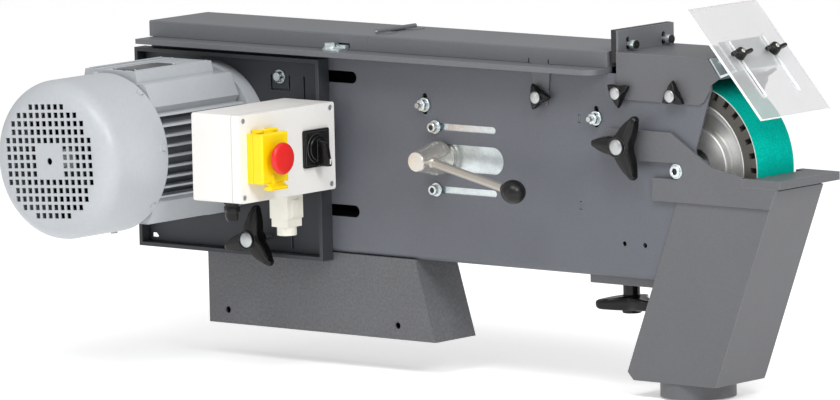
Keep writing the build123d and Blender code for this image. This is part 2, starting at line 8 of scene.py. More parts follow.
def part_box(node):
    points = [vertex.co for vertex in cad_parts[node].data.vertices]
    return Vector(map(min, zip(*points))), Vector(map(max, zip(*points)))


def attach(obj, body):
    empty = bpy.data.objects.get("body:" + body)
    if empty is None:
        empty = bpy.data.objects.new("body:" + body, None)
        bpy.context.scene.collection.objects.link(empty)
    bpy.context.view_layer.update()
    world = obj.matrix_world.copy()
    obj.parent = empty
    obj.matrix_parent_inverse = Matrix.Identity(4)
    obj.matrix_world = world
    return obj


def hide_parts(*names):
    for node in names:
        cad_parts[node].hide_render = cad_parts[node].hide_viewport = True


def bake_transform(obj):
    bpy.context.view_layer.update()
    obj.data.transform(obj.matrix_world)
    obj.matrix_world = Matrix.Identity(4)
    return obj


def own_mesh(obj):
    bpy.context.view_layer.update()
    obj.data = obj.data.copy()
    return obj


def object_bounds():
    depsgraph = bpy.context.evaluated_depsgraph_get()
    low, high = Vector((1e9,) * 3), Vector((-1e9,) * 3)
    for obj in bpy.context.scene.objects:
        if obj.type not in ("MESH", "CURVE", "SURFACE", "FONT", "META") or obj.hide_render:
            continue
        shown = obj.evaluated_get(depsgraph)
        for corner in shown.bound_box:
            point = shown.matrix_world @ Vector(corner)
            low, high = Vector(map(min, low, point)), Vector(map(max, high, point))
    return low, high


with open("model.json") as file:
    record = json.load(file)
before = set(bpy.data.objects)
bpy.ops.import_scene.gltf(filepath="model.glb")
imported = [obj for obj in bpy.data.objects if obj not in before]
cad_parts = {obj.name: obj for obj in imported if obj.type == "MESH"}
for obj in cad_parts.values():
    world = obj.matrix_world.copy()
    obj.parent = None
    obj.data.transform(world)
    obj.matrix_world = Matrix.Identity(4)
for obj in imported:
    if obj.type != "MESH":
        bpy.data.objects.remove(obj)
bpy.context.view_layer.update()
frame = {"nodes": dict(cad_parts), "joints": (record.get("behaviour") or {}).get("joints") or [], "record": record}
nodes = frame["nodes"]
mm = 0.001
print("frame loaded")


def linear(hexColour):  # sRGB hex to the linear values that shaders take
    parts = [int(hexColour[i:i + 2], 16) / 255 for i in (1, 3, 5)]
    return tuple(((p + 0.055) / 1.055) ** 2.4 if p > 0.04045 else p / 12.92 for p in parts) + (1,)


def addNode(tree, kind, inputs=None, **settings):
    node = tree.nodes.new(kind)
    for key, value in settings.items():
        setattr(node, key, value)
    for key, value in (inputs or {}).items():
        if isinstance(value, bpy.types.NodeSocket):
            tree.links.new(value, node.inputs[key])
        else:
            node.inputs[key].default_value = value
    return node


def scaleOf(sizeMm):  # texture scale for a pattern that repeats every sizeMm
    return 1000.0 / sizeMm


def makeMaterial(name, look):
    # look: colour, rough, metal, grain (mm), bump, patch (mm), vary, bevel (mm), shader extras,
    # and edge, how strongly folded edges are painted towards edgeColour as painted edge light: a highlight where
    # edgeColour is paler, shade where it is darker
    material = bpy.data.materials.new(name)
    material.use_nodes = True
    tree = material.node_tree
    tree.nodes.clear()
    place = addNode(tree, "ShaderNodeTexCoord").outputs["Object"]
    patches = addNode(tree, "ShaderNodeTexNoise", {
        "Vector": place, "Scale": scaleOf(look.get("patch", 90)), "Detail": 5.0, "Roughness": 0.62})
    fine = addNode(tree, "ShaderNodeTexNoise", {
        "Vector": place, "Scale": scaleOf(look["grain"]), "Detail": 3.0, "Roughness": 0.6})
    ramp = addNode(tree, "ShaderNodeValToRGB", {"Fac": patches.outputs["Fac"]})
    ramp.color_ramp.elements[0].position = 0.3
    ramp.color_ramp.elements[1].position = 0.7
    base = linear(look["colour"])
    vary = look.get("vary", 0.05)
    ramp.color_ramp.elements[0].color = tuple(c * (1 - vary) for c in base[:3]) + (1,)
    ramp.color_ramp.elements[1].color = tuple(min(1, c * (1 + vary)) for c in base[:3]) + (1,)
    speckle = addNode(tree, "ShaderNodeValToRGB", {"Fac": fine.outputs["Fac"]})
    speckle.color_ramp.elements[0].position = 0.35
    speckle.color_ramp.elements[1].position = 0.68
    spread = look.get("speckle", 0.06)
    speckle.color_ramp.elements[0].color = (1 - spread,) * 3 + (1,)
    speckle.color_ramp.elements[1].color = (1 + spread,) * 3 + (1,)
    colour = addNode(tree, "ShaderNodeMix", {0: 1.0}, data_type="RGBA", blend_type="MULTIPLY")
    tree.links.new(ramp.outputs["Color"], colour.inputs[6])
    tree.links.new(speckle.outputs["Color"], colour.inputs[7])
    bevelled = addNode(tree, "ShaderNodeBevel", {"Radius": look.get("bevel", 0.6) * mm}, samples=4)
    surface = colour.outputs[2]
    if look.get("edge"):  # painted edge light: folded edges are mixed towards edgeColour, a painted highlight where it is paler and painted shade where it is darker
        flat = addNode(tree, "ShaderNodeNewGeometry").outputs["True Normal"]
        along = addNode(tree, "ShaderNodeVectorMath", {0: bevelled.outputs["Normal"], 1: flat},
                        operation="DOT_PRODUCT")
        paintedEdgeShading = addNode(tree, "ShaderNodeMapRange", {
            "Value": along.outputs["Value"], "From Min": 0.995, "From Max": 0.8, "To Min": 0.0,
            "To Max": look["edge"]})
        pale = addNode(tree, "ShaderNodeMix", {0: paintedEdgeShading.outputs[0]}, data_type="RGBA")
        tree.links.new(surface, pale.inputs[6])
        pale.inputs[7].default_value = linear(look.get("edgeColour", "#A9ACB0"))
        surface = pale.outputs[2]
    uneven = look.get("roughVary", 0.05)
    gloss = addNode(tree, "ShaderNodeMapRange", {
        "Value": fine.outputs["Fac"], "To Min": look["rough"] - uneven,
        "To Max": look["rough"] + uneven})
    shader = addNode(tree, "ShaderNodeBsdfPrincipled", {
        "Base Color": surface, "Roughness": gloss.outputs[0],
        "Metallic": look.get("metal", 0.0), "IOR": look.get("ior", 1.5)})
    for key, value in look.get("extra", {}).items():
        shader.inputs[key].default_value = value
    bump = addNode(tree, "ShaderNodeBump", {
        "Height": fine.outputs["Fac"], "Strength": look.get("bump", 0.2),
        "Distance": look.get("bumpMm", 0.15) * mm, "Normal": bevelled.outputs["Normal"]})
    tree.links.new(bump.outputs["Normal"], shader.inputs["Normal"])
    out = addNode(tree, "ShaderNodeOutputMaterial")
    tree.links.new(shader.outputs["BSDF"], out.inputs["Surface"])
    return material


# Each finish is what the real one is; sizes are in millimetres.
# powder coats paint their folded edges paler (edge): a painted highlight along every fold
powderCoat = dict(rough=0.5, grain=1.6, bump=0.35, bumpMm=0.25, patch=140, vary=0.04, speckle=0.08,
                  bevel=0.9, edge=0.4)
finishes = {
    # grey structure powder coat on folded sheet: fine even grain, soft sheen
    "housing_paint": dict(powderCoat, colour="#5A5D64", rough=0.52),
    "cover_paint": dict(powderCoat, colour="#636569"),
    "chute_paint": dict(powderCoat, colour="#5B5C5F"),
    # coarse wrinkle coat, drawn a little coarser than real so that it shows
    "pedestal_paint": dict(colour="#5A5B5E", rough=0.5, grain=3.4, bump=0.8, bumpMm=0.9, patch=60,
                           vary=0.05, speckle=0.2, bevel=0.9),
    # silver-grey enamel on die-cast aluminium: smooth with a soft highlight
    "motor_paint": dict(colour="#B0B4B8", rough=0.36, grain=5.0, bump=0.05, bumpMm=0.2, patch=70,
                        vary=0.025, speckle=0.02, bevel=1.2),
    # bright zinc plate: cool, blotchy, half glossy
    "zinc": dict(colour="#D3DBDD", rough=0.3, grain=3.0, bump=0.1, bumpMm=0.1, patch=16, vary=0.12,
                 speckle=0.06, metal=0.85, bevel=0.5),
    "steel": dict(colour="#BBBDBE", rough=0.36, grain=0.9, bump=0.12, bumpMm=0.08, patch=25, vary=0.08,
                  speckle=0.08, metal=1.0, bevel=0.4),
    "dark_steel": dict(colour="#3A3A3B", rough=0.42, grain=1.2, bump=0.1, bumpMm=0.08, patch=20,
                       vary=0.1, metal=0.8, bevel=0.4),
    "chrome": dict(colour="#D2CEC6", rough=0.24, grain=2.0, bump=0.02, bumpMm=0.05, patch=30, vary=0.05,
                   speckle=0.03, metal=0.8, bevel=0.4),
    "aluminium": dict(colour="#D9D9D7", rough=0.48, grain=1.4, bump=0.1, bumpMm=0.08, patch=40,
                      vary=0.06, speckle=0.06, metal=0.7, bevel=0.7),
    "rubber": dict(colour="#47443F", rough=0.72, grain=1.8, bump=0.3, bumpMm=0.2, patch=30, vary=0.12,
                   speckle=0.12, bevel=0.6),
    "belt_cloth": dict(colour="#00AB9B", rough=0.9, ior=1.12, grain=1.3, bump=0.7, bumpMm=0.3, patch=60,
                       vary=0.1, speckle=0.34, roughVary=0.08, bevel=0.2),
    # moulded plastics; black and yellow ones get painted edge light: a pale painted highlight on black, a darker
    # painted shade on yellow
    "black_plastic": dict(colour="#0D0D0D", rough=0.24, ior=1.36, grain=1.6, bump=0.12, bumpMm=0.08,
                          patch=30, vary=0.1, speckle=0.05, bevel=0.9, edge=0.16, edgeColour="#B5B5B5"),
    "white_plastic": dict(colour="#E6E4E1", rough=0.42, grain=1.3, bump=0.12, bumpMm=0.08, patch=90,
                          vary=0.015, speckle=0.015, bevel=0.8),
    "yellow_plastic": dict(colour="#F5D400", rough=0.34, grain=1.6, bump=0.06, bumpMm=0.06, patch=40,
                           vary=0.03, speckle=0.02, bevel=0.5, edge=0.6, edgeColour="#D09A00"),
    "red_plastic": dict(colour="#D8201C", rough=0.36, grain=1.6, bump=0.06, bumpMm=0.06, patch=40,
                        vary=0.04, speckle=0.02, bevel=0.5),
    "green_plastic": dict(colour="#2F9A4B", rough=0.35, grain=1.6, bump=0.06, bumpMm=0.06, bevel=0.4),
    "cream_plastic": dict(colour="#E4E1D6", rough=0.42, grain=1.5, bump=0.1, bumpMm=0.06, patch=30,
                          vary=0.03, speckle=0.02, bevel=0.6),
    "clear_sheet": dict(colour="#C6C6C7", rough=0.1, grain=6, bump=0.0, roughVary=0.02, vary=0.01,
                        speckle=0.01, ior=1.58, bevel=0.3, extra={"Alpha": 0.42}),
    # painted shade: the adjustable plate and its tray sit in the motor's shadow, so they are painted darker than
    # the covers; their edges carry painted highlight
    "trayPaintedShade": dict(powderCoat, colour="#303237", rough=0.55, bump=0.3, vary=0.05, edge=0.25),
    "black_gloss": dict(colour="#121212", rough=0.34, ior=1.4, grain=2.0, bump=0.02, bumpMm=0.05,
                        patch=30, vary=0.05, speckle=0.02, bevel=0.3),
    # woven cloth behind the grit, and its cut edge
    "beltBacking": dict(colour="#8A7F72", rough=0.85, grain=1.2, bump=0.4, bumpMm=0.2, vary=0.06,
                        bevel=0.2),
    "beltEdge": dict(colour="#B9C9C2", rough=0.85, grain=1.0, bump=0.4, bumpMm=0.2, vary=0.06,
                     bevel=0.1),
    "sawnEdge": dict(colour="#FFFFFF", rough=0.5, grain=2.0, bump=0.1, bumpMm=0.1, vary=0.02, bevel=0.2,
                     extra={"Alpha": 0.85}),
    # painted shade between the fins: the motor body's faces near the axis are painted darker
    "finShade": dict(colour="#5C6064", rough=0.6, grain=4.0, bump=0.1, vary=0.08, bevel=0.5),
    "brushedRod": dict(colour="#B9B4AC", rough=0.38, grain=0.8, bump=0.1, bumpMm=0.06, vary=0.05,
                       metal=0.7, bevel=0.3),
    "darkLabel": dict(colour="#4A4C4F", rough=0.35, grain=2.0, bump=0.05, vary=0.1, metal=0.5,
                      bevel=0.2),
    "seamShadow": dict(colour="#BDBBB7", rough=0.7, grain=1.0, bump=0.1, vary=0.02, bevel=0.1),
    "copper_windings": dict(colour="#9A5B35", rough=0.4, grain=1.2, bump=0.6, bumpMm=0.5, metal=0.6),
}
looks = {name: makeMaterial(name, look) for name, look in finishes.items()}
slotOf = {part["node"]: part["material_slot"] for part in frame["record"]["subparts"]}
for nodeName, node in nodes.items():
    for index in range(max(1, len(node.material_slots))):
        if not node.material_slots:
            node.data.materials.append(looks[slotOf[nodeName]])
        node.material_slots[index].link = "OBJECT"
        node.material_slots[index].material = looks[slotOf[nodeName]]
print("materials made")

joints = {joint["name"]: joint for joint in frame["joints"]}


def at(joint):
    return Vector(joints[joint]["pos_m"])


def low(node):
    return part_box(node)[0]


def high(node):
    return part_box(node)[1]


def middle(node):
    return (low(node) + high(node)) / 2


def stand(place, xWay, zWay):  # matrix with local X and Z along these ways
    z = Vector(zWay).normalized()
    x = (Vector(xWay) - z * z.dot(Vector(xWay))).normalized()
    turned = Matrix((x, z.cross(x), z)).transposed().to_4x4()
    return Matrix.Translation(place) @ turned


def facing(x, y, z):  # on a wall that faces the operator: local Z is -Y, local Y is up
    return stand((x, y, z), (1, 0, 0), (0, -1, 0))


def sideOn(x, y, z):  # on a wall that faces +X: local Z is +X, local Y is up
    return stand((x, y, z), (0, 1, 0), (1, 0, 0))


def joinParts(whole, part, place, finish):
    bmesh.ops.transform(part, matrix=place, verts=part.verts)
    bmesh.ops.recalc_face_normals(part, faces=part.faces)
    for face in part.faces:
        face.material_index = finish
    mesh = bpy.data.meshes.new("scratch")
    part.to_mesh(mesh)
    whole.from_mesh(mesh)
    bpy.data.meshes.remove(mesh)
    part.free()


def addLathe(whole, place, profile, finish=0, steps=64, closed=False):
    # profile: (radius, height) in mm, turned round local Z
    part = bmesh.new()
    rings = []
    for r, h in profile:
        angles = [math.tau * i / steps for i in range(steps if r > 0.001 else 1)]
        spots = [(r * mm * math.cos(a), r * mm * math.sin(a), h * mm) for a in angles]
        rings.append([part.verts.new(spot) for spot in spots])
    pairs = list(zip(rings, rings[1:])) + ([(rings[-1], rings[0])] if closed else [])
    for a, b in pairs:
        for i in range(steps):
            j = (i + 1) % steps
            corners = [a[i % len(a)], a[j % len(a)], b[j % len(b)], b[i % len(b)]]
            corners = list(dict.fromkeys(corners))  # a ring of one point gives triangles
            if len(corners) > 2:
                part.faces.new(corners)
    joinParts(whole, part, place, finish)


def addPrism(whole, place, outline, bottom, top, finish=0, bevel=0.6):
    # outline: (x, y) in mm, pushed from bottom to top along local Z, with its edges rounded
    part = bmesh.new()
    base = part.faces.new([part.verts.new((x * mm, y * mm, bottom * mm)) for x, y in outline])
    made = bmesh.ops.extrude_face_region(part, geom=[base])
    lifted = [v for v in made["geom"] if isinstance(v, bmesh.types.BMVert)]
    bmesh.ops.translate(part, verts=lifted, vec=(0, 0, (top - bottom) * mm))
    bmesh.ops.recalc_face_normals(part, faces=part.faces)
    if bevel:
        edges = [e for e in part.edges if e.calc_face_angle(0) > 0.6]
        bmesh.ops.bevel(part, geom=edges, offset=bevel * mm, segments=2, profile=0.5,
                        affect="EDGES", clamp_overlap=True)
    joinParts(whole, part, place, finish)


def addLobed(whole, place, radius, rings, finish=0, step=2):
    # radius(degrees) in mm; rings: (inset, height at the hub, height at the tips) in mm
    part = bmesh.new()
    sizes = [radius(a) for a in range(0, 360, step)]
    near, far = min(sizes), max(sizes)
    loops = []
    for inset, hub, tip in rings:
        loop = []
        for i, size in enumerate(sizes):
            a = math.radians(i * step)
            h = hub + (tip - hub) * (size - near) / (far - near)
            r = max(size - inset, 0.5)
            loop.append(part.verts.new((r * mm * math.cos(a), r * mm * math.sin(a), h * mm)))
        loops.append(loop)
    for a, b in zip(loops, loops[1:]):
        for i in range(len(a)):
            j = (i + 1) % len(a)
            part.faces.new((a[i], a[j], b[j], b[i]))
    for loop, height in ((loops[0], rings[0][1]), (loops[-1], rings[-1][1])):
        hub = part.verts.new((0, 0, height * mm))
        for i in range(len(loop)):
            part.faces.new((loop[i], loop[(i + 1) % len(loop)], hub))
    joinParts(whole, part, place, finish)


def roundedOutline(wide, tall, r, steps=6, x=0, y=0):
    points = []
    for cx, cy, start in ((1, 1, 0), (-1, 1, 90), (-1, -1, 180), (1, -1, 270)):
        for i in range(steps + 1):
            a = math.radians(start + 90 * i / steps)
            points.append((x + cx * (wide / 2 - r) + r * math.cos(a),
                           y + cy * (tall / 2 - r) + r * math.sin(a)))
    return points


def polygon(r, count, turn=0):
    angles = [math.radians(turn + 360 * i / count) for i in range(count)]
    return [(r * math.cos(a), r * math.sin(a)) for a in angles]


def finishPiece(whole, name, body, finish, hides=(), sharp=32):
    mesh = bpy.data.meshes.new(name)
    whole.to_mesh(mesh)
    whole.free()
    for one in finish:
        mesh.materials.append(looks[one])
    mesh.shade_smooth()
    mesh.set_sharp_from_angle(angle=math.radians(sharp))
    piece = bpy.data.objects.new(name, mesh)
    bpy.context.scene.collection.objects.link(piece)
    if hides:
        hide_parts(*hides)
    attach(piece, body)
    return piece


# a moulded knob's rings: (inset, height at the hub, height at the tips); silver cap on top
smallStar = {"waist": 9.0, "reach": 10.5,
             "rings": [(2.2, 4.8, 4.8), (0.7, 5.0, 5.0), (0, 6.2, 6.2), (0, 11.3, 8.2), (0.5, 13.3, 9.8),
                       (1.6, 14.8, 11.0), (3.4, 15.6, 11.6)],
             "foot": [(0, 2.8), (8.6, 2.8), (8.6, 6), (0, 6)],
             "collar": [(0, 14), (8.8, 14), (8.8, 16), (8.2, 16.3), (7.9, 15.5)],
             "cap": [(0, 15), (7.8, 15), (7.8, 16.3), (7, 17), (4.5, 17.6), (0, 17.8)],
             "stud": [(0, -5.8), (3, -5.8), (3, 4), (0, 4)]}
bigStar = {"waist": 16.0, "tipAt": 42.0, "tipRadius": 5.0, "power": 2.3, "tall": 24.0, "stud": 4.0,
           "rings": [(8, -0.5, 4), (3.5, 0.2, 4.5), (0.8, 2.5, 6), (0, 6, 8), (0, 13, 11.5),
                     (0.8, 16, 14), (2.8, 18.3, 16), (6.5, 19.3, 17)],
           "collar": [(0, 17), (12.6, 17), (12.6, 22.2), (11.9, 22.8), (11, 22.4), (10.8, 20)],
           "cap": [(0, 18), (10.7, 18), (10.7, 21.2), (9.4, 22.4), (6, 23.4), (0, 23.8)]}


def awayFromTip(angle, tip):
    return abs((angle - tip + 60) % 120 - 60)


def makeSmallStar(name, joint, body, tip):
    spot, d, whole = at(joint), smallStar, bmesh.new()
    place = facing(spot.x, low("housing_front").y, spot.z)

    def radius(angle):
        return d["waist"] + d["reach"] * (1 - awayFromTip(angle, tip) / 60) ** 2

    addLathe(whole, place, d["foot"])
    addLobed(whole, place, radius, d["rings"])
    addLathe(whole, place, d["collar"])
    addLathe(whole, place, d["cap"], 1)
    addLathe(whole, place, d["stud"], 1, 24)
    finishPiece(whole, name + "Star", body, ["black_plastic", "steel"], (name,))


def makeBigStar(name, place, body, neck, tip, stud, boss):
    d, whole = bigStar, bmesh.new()

    def radius(angle):  # a round tip, then concave flanks down to the waist
        away, out, r = awayFromTip(angle, tip), d["tipAt"], d["tipRadius"]
        edge = math.degrees(math.asin(r / out))
        if away < edge:
            off = math.radians(away)
            return out * math.cos(off) + math.sqrt(r * r - (out * math.sin(off)) ** 2)
        shoulder = math.sqrt(out * out - r * r)
        return d["waist"] + (shoulder - d["waist"]) * ((60 - away) / (60 - edge)) ** d["power"]

    foot, thick = neck - boss, d["stud"]
    addLathe(whole, place, [(0, foot + 0.3), (10, foot + 0.3), (11, foot + 1.2), (11, neck - 1),
                            (13.5, neck + 2), (0, neck + 2)])
    addLobed(whole, place, radius, [(i, a + neck, b + neck) for i, a, b in d["rings"]])
    addLathe(whole, place, [(r, neck + h) for r, h in d["collar"]])
    addLathe(whole, place, [(r, neck + h) for r, h in d["cap"]], 1)
    addLathe(whole, place, [(0, -stud), (thick, -stud), (thick, neck), (0, neck)], 1, 24)
    finishPiece(whole, name + "Star", body, ["black_plastic", "steel"], (name,))


makeSmallStar("lid_knob", "lid_knob_turn", "lid_clamp", 0)
makeSmallStar("hood_knob_left", "hood_knob_left_turn", "hood_clamp_left", 30)
makeSmallStar("hood_knob_right", "hood_knob_right_turn", "hood_clamp_right", 90)
# name, joint, body, then neck, direction of the first tip in degrees, stud and boss
for name, joint, body, neck, tip, stud, boss in (
        ("arm_knob", "arm_knob_turn", "arm_clamp", 4.5, 57, 17, 4.5),
        ("tracking_knob", "tracking_knob_turn", "tracking_screw", 25.8, 77, 5, 8)):
    foot = low(name).y + (neck + bigStar["tall"]) * mm
    makeBigStar(name, facing(at(joint).x, foot, at(joint).z), body, neck, tip, stud, boss)


def makeChuteKnob(neck=18, tip=15, stud=17):
    spot = at("chute_knob_turn")
    foot = low("chute_knob").z + (neck + bigStar["tall"]) * mm
    place = stand((spot.x, spot.y, foot), (1, 0, 0), (0, 0, -1))
    makeBigStar("chute_knob", place, "chute_clamp", neck, tip, stud, neck)


makeChuteKnob()
print("star knobs made")

lever = {"hub": [(0, -3), (17, -3), (17, 0.5), (19, 0.6), (19, 4), (17.2, 4.4), (17.2, 6), (21, 6.6),
                 (22.3, 8), (22.4, 12), (21, 22), (17, 34), (14.3, 48), (13.5, 54), (12.4, 55.8),
                 (0, 56)],
         "rod": 5.7, "rodFrom": 35.0, "collar": 7.2, "ball": 15.5, "oval": 1.13, "ballSteps": 24}


def makeLever():
    d, whole, spot = lever, bmesh.new(), at("clamp_lever_turn")
    place = facing(spot.x, low("housing_front").y, spot.z)
    addLathe(whole, place, d["hub"], 0, 80)
    start = place @ Vector((0, 0, d["rodFrom"] * mm))
    ball = middle("lever_ball")
    way = ball - start
    along = stand(start, (0, 0, 1), way)
    length = way.length / mm
    addLathe(whole, along, [(0, 8), (d["collar"], 10), (d["collar"], 17), (6.4, 18.5), (d["rod"], 19),
                            (d["rod"], length - 12), (0, length - 12)], 1, 40)
    finishPiece(whole, "leverHub", "clamp_lever", ["chrome", "brushedRod"], ("lever_hub",), 24)
    grip = bmesh.new()
    r, long = d["ball"], d["ball"] * d["oval"]
    steps = [math.pi * i / d["ballSteps"] for i in range(1, d["ballSteps"])]
    oval = [(r * math.sin(a), -long * math.cos(a)) for a in steps]
    neck = [(0, -long - 1), (7, -long - 1), (7.4, -long + 1.5)]
    above = [point for point in oval if point[0] > 7.6 or point[1] > 0]
    addLathe(grip, stand(ball, (0, 0, 1), way), neck + above + [(0, long)], 0, 48)
    finishPiece(grip, "leverBall", "clamp_lever", ["black_gloss"], ("lever_ball",), 50)


makeLever()

# hex bolts are (x, z) in mm from the named node's low corner
bolts = {"washer": 9.0, "socketHead": 6.5, "hexWasher": 9.4, "across": 13.4,
         "platen": ((475.5, 205.4), (762.5, 204.4)), "plate": ((236.7, 232.6), (35.6, 236.6)),
         "gapAt": (20.5, 93),
         "gapHead": [(0, -8.2), (5.7, -8.2), (5.7, -2.4), (5.2, -1.2), (3.6, 0), (2.6, 0), (2.6, -2),
                     (0, -2)],
         "gapShank": [(0, -24), (3.1, -24), (3.1, -8), (0, -8)],
         "guide": [(0, -0.5), (9.9, -0.5), (9.9, 5.4), (9.3, 6), (8, 6), (8, 8.2), (7.3, 9), (4.4, 9),
                   (4.0, 8.4)]}


def addSocketBolt(whole, place, washer, head, tall, shank):
    # a washer, a socket-cap head with its hexagon recess, and the shank behind
    addLathe(whole, place, [(0, 0.4), (washer - 0.4, 0.4), (washer, 0.8), (washer, 2.2),
                            (washer - 0.5, 2.6), (0, 2.6)])
    top = 2.6 + tall
    addLathe(whole, place, [(0, 2.5), (head, 2.5), (head, top - 0.8), (head - 0.8, top),
                            (head * 0.62, top), (head * 0.55, top - 0.5)], 0, 40)
    # the recess is a shallow dark_steel plug: painted shade for the deep socket
    addPrism(whole, place, polygon(head * 0.6, 6), 2.6, top - 0.45, 1, 0)
    addLathe(whole, place, [(0, -shank), (head * 0.6, -shank), (head * 0.6, 2.6), (0, 2.6)], 0, 24)


def addHexBolt(whole, place, tall, lift=0.0):
    washer, across = bolts["hexWasher"], bolts["across"]
    addLathe(whole, place, [(0, lift), (washer - 0.4, lift), (washer, lift + 0.4), (washer, lift + 1.8),
                            (washer - 0.6, lift + 2.3), (0, lift + 2.3)])
    corner = across / 2 / math.cos(math.pi / 6)
    addPrism(whole, place, polygon(corner, 6, 12), lift + 2.2, lift + 2.2 + tall, 0, 0.5)
    top = lift + tall
    addLathe(whole, place, [(0, lift + 2), (across * 0.46, top + 2), (across * 0.42, top + 2.7),
                            (across * 0.3, top + 2.9), (0, top + 2.9)], 0, 32)


def makeHardware():
    d, wall, whole = bolts, low("housing_front"), bmesh.new()
    spot, rise = middle("guide_screws"), d["washer"] * mm
    for z in (low("guide_screws").z + rise, high("guide_screws").z - rise):
        addSocketBolt(whole, facing(spot.x, wall.y, z), d["washer"], d["socketHead"], 8.3, 3.3)
    finishPiece(whole, "guideScrewHeads", "carriage", ["zinc", "dark_steel"], ("guide_screws",))
    whole = bmesh.new()
    for x, z in d["platen"]:
        addHexBolt(whole, facing(wall.x + x * mm, wall.y, wall.z + z * mm), 6.6, 0.5)
    finishPiece(whole, "platenBoltHeads", "platen_support", ["zinc"])
    whole, plate = bmesh.new(), low("motor_plate")
    for x, z in d["plate"]:
        addHexBolt(whole, facing(plate.x + x * mm, wall.y - 5.7 * mm, plate.z + z * mm), 4.9)
    finishPiece(whole, "plateBoltHeads", "motor_unit", ["zinc"])
    whole, gap = bmesh.new(), low("gap_plate")
    for y in d["gapAt"]:
        place = sideOn(high("gap_plate").x, gap.y + y * mm, gap.z + 22.5 * mm)
        addLathe(whole, place, d["gapHead"], 0, 32)
        addLathe(whole, place, d["gapShank"], 0, 24)
    finishPiece(whole, "gapScrewHeads", "gap_adjuster", ["zinc"])
    whole, spot = bmesh.new(), middle("guide_bolt")
    place = facing(spot.x, low("guide_bolt").y + 9 * mm, spot.z)
    addLathe(whole, place, d["guide"], 0, 48)
    # the hexagon recess is a shallow dark_steel plug: painted shade for the deep socket
    addPrism(whole, place, polygon(4.5, 6), 4, 7, 1, 0)
    finishPiece(whole, "guideBoltHead", "frame", ["zinc", "dark_steel"], ("guide_bolt",))


makeHardware()
print("lever and hardware made")

# the hub's section, (radius, height) in mm: rim, thin web and boss
wheel = {"hub": [(85, -0.6), (84.4, 0), (83.2, 0), (75.4, -7.8), (73.2, -8.3), (72.2, -9.5), (72, -20),
                 (70, -22), (50, -22), (48, -20), (48, -11.2), (46.8, -10), (22.2, -10), (21, -11.2),
                 (21, -63.8), (22.2, -65), (46.8, -65), (48, -63.8), (48, -55), (50, -53), (70, -53),
                 (72, -55), (72, -65.5), (75, -67), (83, -75), (84.4, -75), (85, -74.4)]}


def makeWheel():
    whole, spot = bmesh.new(), at("contact_wheel_spin")
    place = facing(spot.x, low("wheel_hub").y, spot.z)
    addLathe(whole, place, wheel["hub"], 0, 128, True)
    finishPiece(whole, "wheelHub", "contact_wheel", ["aluminium"], ("wheel_hub",), 20)


belt = {"small": 100.0, "large": 105.0, "thick": 1.3, "turnStep": 2.5}


def makeBelt():
    # outside grit, inside cloth, and bare edges where the cloth is cut
    a, b = at("rotor_spin"), at("contact_wheel_spin")
    span, lean = (b - a).length, math.atan2(b.z - a.z, b.x - a.x)
    spread = math.asin((belt["large"] - belt["small"]) * mm / span)
    up, down = lean + math.pi / 2 + spread, lean - math.pi / 2 - spread
    stops = []
    for centre, r, start, end in ((b, belt["large"], up, down), (a, belt["small"], down, up - math.tau)):
        count = round(abs(math.degrees(end - start)) / belt["turnStep"])
        stops += [(centre, r, start + (end - start) * i / count) for i in range(count + 1)]
    near, far = low("abrasive_belt").y, high("abrasive_belt").y
    part = bmesh.new()
    loops = []
    for thick, y in ((0, near), (belt["thick"], near), (belt["thick"], far), (0, far)):
        loop = []
        for centre, r, turn in stops:
            out = (r + thick) * mm
            spot = (centre.x + out * math.cos(turn), y, centre.z + out * math.sin(turn))
            loop.append(part.verts.new(spot))
        loops.append(loop)
    for side, finish in enumerate((2, 0, 2, 1)):
        one, two = loops[side], loops[(side + 1) % 4]
        for i in range(len(one)):
            j = (i + 1) % len(one)
            face = part.faces.new((one[i], one[j], two[j], two[i]))
            face.material_index = finish
    bmesh.ops.recalc_face_normals(part, faces=part.faces)
    piece = finishPiece(part, "abrasiveBelt", "frame", ["belt_cloth", "beltBacking", "beltEdge"],
                        ("abrasive_belt",))
    piece.parent = None  # it is left without a body, its transform baked into the mesh
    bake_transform(piece)


spring = {"coil": 8.0, "wire": 1.4, "pitch": 11.0, "turnSteps": 28, "sides": 8, "keep": 0.62}


def makeSpring():
    start, end = low("tension_spring"), high("tension_spring")
    centre = (start + end) / 2
    length = (end.x - start.x) / mm - 2 * spring["wire"]
    part, loops = bmesh.new(), []
    for i in range(round(length / spring["pitch"] * spring["turnSteps"]) + 1):
        turn = math.tau * i / spring["turnSteps"]
        along = start.x + (spring["wire"] + spring["pitch"] * turn / math.tau) * mm
        loop = []
        for k in range(spring["sides"]):
            about = math.tau * k / spring["sides"]
            r = (spring["coil"] + spring["wire"] * math.cos(about)) * mm
            loop.append(part.verts.new((along + spring["wire"] * mm * math.sin(about),
                                        centre.y + r * math.cos(turn), centre.z + r * math.sin(turn))))
        loops.append(loop)
    for a, b in zip(loops, loops[1:]):
        for k in range(len(a)):
            part.faces.new((a[k], a[(k + 1) % len(a)], b[(k + 1) % len(b)], b[k]))
    part.faces.new(loops[0])
    part.faces.new(loops[-1])
    bmesh.ops.recalc_face_normals(part, faces=part.faces)
    piece = finishPiece(part, "tensionSpring", "frame", ["steel"], ("tension_spring",))
    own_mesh(piece)


makeWheel()
makeBelt()
makeSpring()
print("wheel and belt made")

# the stop button's section, (radius, height) in mm
mushroom = [(0, 0), (8.6, 0), (8.6, 6.2), (8, 6.6), (7, 7), (7, 17.8), (12, 18), (19, 18.3), (20.5, 19.2),
            (21, 20.8), (20.7, 22.6), (19.4, 24.2), (16.5, 25.2), (10, 25.8), (0, 26)]


def makeMushroom():
    whole, spot = bmesh.new(), middle("stop_mushroom")
    addLathe(whole, sideOn(low("stop_mushroom").x, spot.y, spot.z), mushroom, 0, 72)
    finishPiece(whole, "stopMushroom", "stop_actuator", ["red_plastic"], ("stop_mushroom",), 40)


